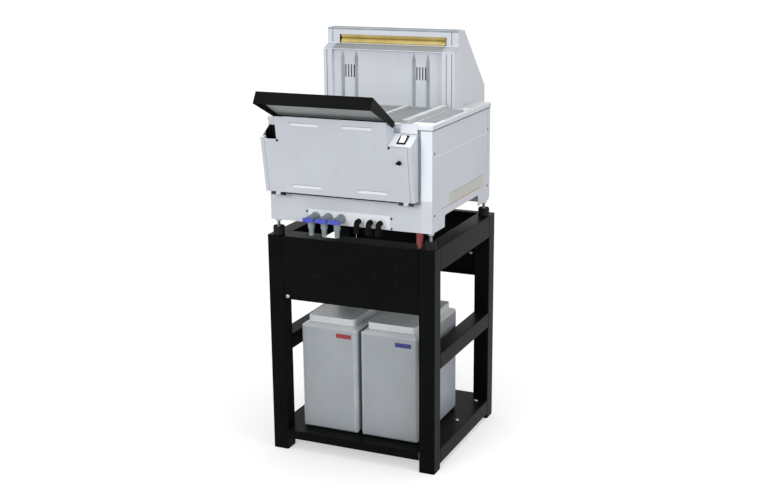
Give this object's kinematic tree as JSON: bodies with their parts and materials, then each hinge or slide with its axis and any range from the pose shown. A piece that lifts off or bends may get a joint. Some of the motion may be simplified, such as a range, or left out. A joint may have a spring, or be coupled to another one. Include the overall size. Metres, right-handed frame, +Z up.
{
  "type": "film processor",
  "caption": "Floor-standing sheet film processor: feed box with hinged hood, drop-down door, wet bays under lift-off covers, dryer tower and containers on a steel stand.",
  "frame": {"origin": "on the floor, under the middle of the whole machine's bounding box", "axes": "+X to the operator's right, +Y from the feed side to the rear, +Z up"},
  "size_m": [0.65, 0.9064, 1.537],
  "materials": {
    "powder_coat_black": "satin",
    "powder_coat_grey": "satin",
    "zinc_steel": "satin",
    "rubber_black": "matte",
    "abs_pale": "matte",
    "abs_cover_grey": "matte",
    "abs_black": "satin",
    "switch_white": "gloss",
    "pvc_grey": "satin",
    "nylon_blue": "satin",
    "pvc_white": "satin",
    "pvc_red": "satin",
    "pvc_dark": "matte",
    "rack_cream": "matte",
    "roller_grey": "satin",
    "motor_grey": "satin",
    "acetal_gear": "satin",
    "belt_black": "matte",
    "roller_amber": "satin",
    "hdpe_white": "satin"
  },
  "bodies": {
    "root": {"stand_posts": "powder_coat_black", "side_rails": "powder_coat_black", "front_aprons": "powder_coat_black", "rear_apron": "powder_coat_black", "shelf": "powder_coat_black", "stand_bolts": "zinc_steel", "chassis": "powder_coat_grey", "left_side_panel": "powder_coat_grey", "right_side_panel": "powder_coat_grey", "front_panel": "powder_coat_grey", "rear_panel": "powder_coat_grey", "top_frame": "abs_pale", "levelling_feet": "zinc_steel", "rubber_cups": "rubber_black", "mains_inlet": "abs_black", "case_screws": "zinc_steel", "feed_box": "powder_coat_grey", "door_hinges": "zinc_steel", "switch_bezel": "abs_black", "valve_plate": "powder_coat_grey", "valve_bodies": "pvc_grey", "inlet_fittings": "pvc_white", "overflow_drain": "pvc_red", "tank": "pvc_dark", "drive_motor": "motor_grey", "drive_belt": "belt_black", "dryer_housing": "powder_coat_grey", "dryer_back": "powder_coat_grey", "roller_brackets": "abs_black", "fan_housing": "abs_black"},
    "front_door": {"front_door": "powder_coat_grey", "door_screws": "abs_black"},
    "door_latch": {"door_latch": "abs_black"},
    "feed_lid": {"feed_lid": "abs_black", "lid_liner": "abs_cover_grey"},
    "switch_rocker": {"switch_rocker": "switch_white"},
    "main_cover": {"main_cover": "abs_cover_grey"},
    "service_cover": {"service_cover": "abs_cover_grey"},
    "exit_roller_lower": {"exit_roller_lower": "roller_amber"},
    "exit_roller_upper": {"exit_roller_upper": "roller_amber"},
    "fan_wheel": {"fan_wheel": "abs_black"},
    "valve_handle_1": {"valve_handle_1": "nylon_blue"},
    "drive_gear_1": {"drive_gear_1": "acetal_gear"},
    "valve_handle_2": {"valve_handle_2": "nylon_blue"},
    "drive_gear_2": {"drive_gear_2": "acetal_gear"},
    "valve_handle_3": {"valve_handle_3": "nylon_blue"},
    "drive_gear_3": {"drive_gear_3": "acetal_gear"},
    "developer_rack": {"developer_rack": "rack_cream"},
    "drive_roller_1": {"drive_roller_1": "roller_grey"},
    "turn_roller_1": {"turn_roller_1": "roller_grey"},
    "fixer_rack": {"fixer_rack": "rack_cream"},
    "drive_roller_2": {"drive_roller_2": "roller_grey"},
    "turn_roller_2": {"turn_roller_2": "roller_grey"},
    "wash_rack": {"wash_rack": "rack_cream"},
    "drive_roller_3": {"drive_roller_3": "roller_grey"},
    "turn_roller_3": {"turn_roller_3": "roller_grey"},
    "jug_left": {"jug_left": "hdpe_white"},
    "jug_lid_left": {"jug_lid_left": "hdpe_white"},
    "jug_right": {"jug_right": "hdpe_white"},
    "jug_lid_right": {"jug_lid_right": "hdpe_white"}
  },
  "joints": [
    {"name": "feed_lid_open", "type": "hinge", "parent": "root", "child": "feed_lid", "pos_m": [0, -0.25991, 1.2582], "axis": [-1, 0, 0], "range_deg": [0, 60]},
    {"name": "front_door_open", "type": "hinge", "parent": "root", "child": "front_door", "pos_m": [0, -0.27779, 0.9935], "axis": [1, 0, 0], "range_deg": [0, 135]},
    {"name": "door_latch_turn", "type": "hinge", "parent": "front_door", "child": "door_latch", "pos_m": [0.221, -0.30092, 1.14028], "axis": [0, 0.988, 0.1547], "range_deg": [0, 90]},
    {"name": "switch_press", "type": "hinge", "parent": "root", "child": "switch_rocker", "pos_m": [0.225, -0.2783, 1.21404], "axis": [1, 0, 0], "range_deg": [-16, 0]},
    {"name": "valve_1_turn", "type": "hinge", "parent": "root", "child": "valve_handle_1", "pos_m": [-0.123, -0.29879, 0.915], "axis": [0, 1, 0], "range_deg": [0, 90]},
    {"name": "valve_2_turn", "type": "hinge", "parent": "root", "child": "valve_handle_2", "pos_m": [-0.073, -0.29879, 0.915], "axis": [0, 1, 0], "range_deg": [0, 90]},
    {"name": "valve_3_turn", "type": "hinge", "parent": "root", "child": "valve_handle_3", "pos_m": [-0.023, -0.29879, 0.915], "axis": [0, 1, 0], "range_deg": [0, 90]},
    {"name": "main_cover_lift", "type": "slide", "parent": "root", "child": "main_cover", "axis": [0, 0, 1], "range_m": [0, 0.45]},
    {"name": "service_cover_lift", "type": "slide", "parent": "root", "child": "service_cover", "axis": [0, 0, 1], "range_m": [0, 0.1]},
    {"name": "developer_rack_lift", "type": "slide", "parent": "root", "child": "developer_rack", "axis": [0, 0, 1], "range_m": [0, 0.36]},
    {"name": "fixer_rack_lift", "type": "slide", "parent": "root", "child": "fixer_rack", "axis": [0, 0, 1], "range_m": [0, 0.36]},
    {"name": "wash_rack_lift", "type": "slide", "parent": "root", "child": "wash_rack", "axis": [0, 0, 1], "range_m": [0, 0.36]},
    {"name": "drive_gear_1_spin", "type": "hinge", "parent": "root", "child": "drive_gear_1", "pos_m": [-0.262, -0.13979, 1.148], "axis": [1, 0, 0], "continuous": true},
    {"name": "drive_gear_2_spin", "type": "hinge", "parent": "root", "child": "drive_gear_2", "pos_m": [-0.262, -0.03579, 1.148], "axis": [1, 0, 0], "continuous": true},
    {"name": "drive_gear_3_spin", "type": "hinge", "parent": "root", "child": "drive_gear_3", "pos_m": [-0.262, 0.06821, 1.148], "axis": [1, 0, 0], "continuous": true},
    {"name": "drive_roller_1_spin", "type": "hinge", "parent": "developer_rack", "child": "drive_roller_1", "pos_m": [0, -0.13979, 1.2182], "axis": [1, 0, 0], "continuous": true},
    {"name": "turn_roller_1_spin", "type": "hinge", "parent": "developer_rack", "child": "turn_roller_1", "pos_m": [0, -0.13979, 0.995], "axis": [1, 0, 0], "continuous": true},
    {"name": "drive_roller_2_spin", "type": "hinge", "parent": "fixer_rack", "child": "drive_roller_2", "pos_m": [0, -0.03579, 1.2182], "axis": [1, 0, 0], "continuous": true},
    {"name": "turn_roller_2_spin", "type": "hinge", "parent": "fixer_rack", "child": "turn_roller_2", "pos_m": [0, -0.03579, 0.995], "axis": [1, 0, 0], "continuous": true},
    {"name": "drive_roller_3_spin", "type": "hinge", "parent": "wash_rack", "child": "drive_roller_3", "pos_m": [0, 0.06821, 1.2182], "axis": [1, 0, 0], "continuous": true},
    {"name": "turn_roller_3_spin", "type": "hinge", "parent": "wash_rack", "child": "turn_roller_3", "pos_m": [0, 0.06821, 0.995], "axis": [1, 0, 0], "continuous": true},
    {"name": "exit_lower_spin", "type": "hinge", "parent": "root", "child": "exit_roller_lower", "pos_m": [0, 0.18421, 1.48595], "axis": [1, 0, 0], "continuous": true},
    {"name": "exit_upper_spin", "type": "hinge", "parent": "root", "child": "exit_roller_upper", "pos_m": [0, 0.18421, 1.51005], "axis": [1, 0, 0], "continuous": true},
    {"name": "fan_spin", "type": "hinge", "parent": "root", "child": "fan_wheel", "pos_m": [-0.007, 0.41391, 1.202], "axis": [0, 1, 0], "continuous": true},
    {"name": "jug_left_slide", "type": "slide", "parent": "root", "child": "jug_left", "axis": [0, -1, 0], "range_m": [0, 0.45]},
    {"name": "jug_lid_left_lift", "type": "slide", "parent": "jug_left", "child": "jug_lid_left", "axis": [0, 0, 1], "range_m": [0, 0.07]},
    {"name": "jug_right_slide", "type": "slide", "parent": "root", "child": "jug_right", "axis": [0, -1, 0], "range_m": [0, 0.45]},
    {"name": "jug_lid_right_lift", "type": "slide", "parent": "jug_right", "child": "jug_lid_right", "axis": [0, 0, 1], "range_m": [0, 0.07]}
  ],
  "couplings": [
    {"joint": "developer_rack_lift", "follows": "main_cover_lift", "ratio": 0.8},
    {"joint": "fixer_rack_lift", "follows": "main_cover_lift", "ratio": 0.8},
    {"joint": "wash_rack_lift", "follows": "main_cover_lift", "ratio": 0.8},
    {"joint": "drive_gear_1_spin", "follows": "drive_gear_2_spin", "ratio": 1},
    {"joint": "drive_gear_3_spin", "follows": "drive_gear_2_spin", "ratio": 1},
    {"joint": "drive_roller_1_spin", "follows": "drive_gear_2_spin", "ratio": -2},
    {"joint": "turn_roller_1_spin", "follows": "drive_gear_2_spin", "ratio": -1},
    {"joint": "drive_roller_2_spin", "follows": "drive_gear_2_spin", "ratio": -2},
    {"joint": "turn_roller_2_spin", "follows": "drive_gear_2_spin", "ratio": -1},
    {"joint": "drive_roller_3_spin", "follows": "drive_gear_2_spin", "ratio": -2},
    {"joint": "turn_roller_3_spin", "follows": "drive_gear_2_spin", "ratio": -1},
    {"joint": "exit_lower_spin", "follows": "drive_gear_2_spin", "ratio": -2.3333},
    {"joint": "exit_upper_spin", "follows": "drive_gear_2_spin", "ratio": 2.3333}
  ]
}
